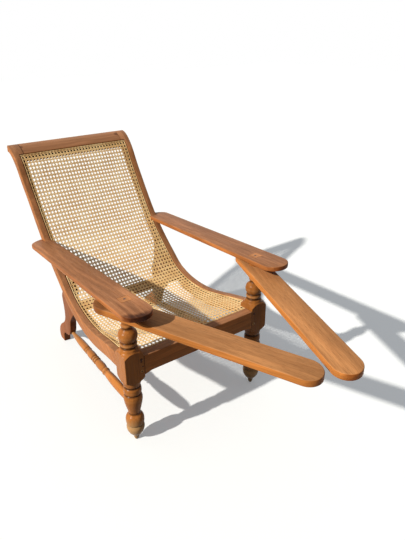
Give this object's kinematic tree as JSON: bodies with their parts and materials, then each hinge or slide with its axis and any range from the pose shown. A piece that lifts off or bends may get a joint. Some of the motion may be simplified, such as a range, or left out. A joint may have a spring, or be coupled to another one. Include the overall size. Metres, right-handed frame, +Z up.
{
  "type": "planters chair",
  "caption": "Low wooden lounging chair with a curved caned seat and back, flat arms, turned front posts, and leg rests that swing out from under the arms.",
  "frame": {"origin": "on the floor, under the middle of the whole chair with its leg rests as in the picture", "axes": "+Z up, -Y the way the sitter faces, +X to the sitter's left"},
  "size_m": [0.741, 1.778, 0.959],
  "materials": {
    "teak": "oiled, satin",
    "gold_teak": "oiled, satin",
    "red_teak": "oiled, satin",
    "cane": "split rattan cane, natural, slightly glossy",
    "steel": "aged, dull"
  },
  "bodies": {
    "frame": {"arm_left": "red_teak", "arm_right": "red_teak", "cane_binder_crest": "cane", "cane_binder_front": "cane", "cane_binder_left": "cane", "cane_binder_right": "cane", "cane_panel": "cane", "crest_rail": "teak", "front_post_left": "gold_teak", "front_post_right": "gold_teak", "front_rail": "teak", "leg_screw_lower_left": "steel", "leg_screw_lower_right": "steel", "leg_screw_upper_left": "steel", "leg_screw_upper_right": "steel", "rail_peg_lower_left": "teak", "rail_peg_lower_right": "teak", "rail_peg_upper_left": "teak", "rail_peg_upper_right": "teak", "rear_cross_rail": "teak", "rear_leg_left": "teak", "rear_leg_right": "teak", "side_rail_left": "teak", "side_rail_right": "teak", "side_stretcher_left": "gold_teak", "side_stretcher_right": "gold_teak", "tenon_nail_left": "steel", "tenon_nail_right": "steel"},
    "leg_rest_left": {"leg_rest_left": "gold_teak"},
    "leg_rest_right": {"leg_rest_right": "gold_teak"}
  },
  "joints": [
    {"name": "leg_rest_left_swing", "type": "hinge", "parent": "frame", "child": "leg_rest_left", "pos_m": [0.30124, -0.21996, 0.581], "axis": [0, 0, 1], "range_deg": [0, 195.7]},
    {"name": "leg_rest_right_swing", "type": "hinge", "parent": "frame", "child": "leg_rest_right", "pos_m": [-0.28676, -0.21996, 0.581], "axis": [0, 0, 1], "range_deg": [-207.6, 0]}
  ]
}
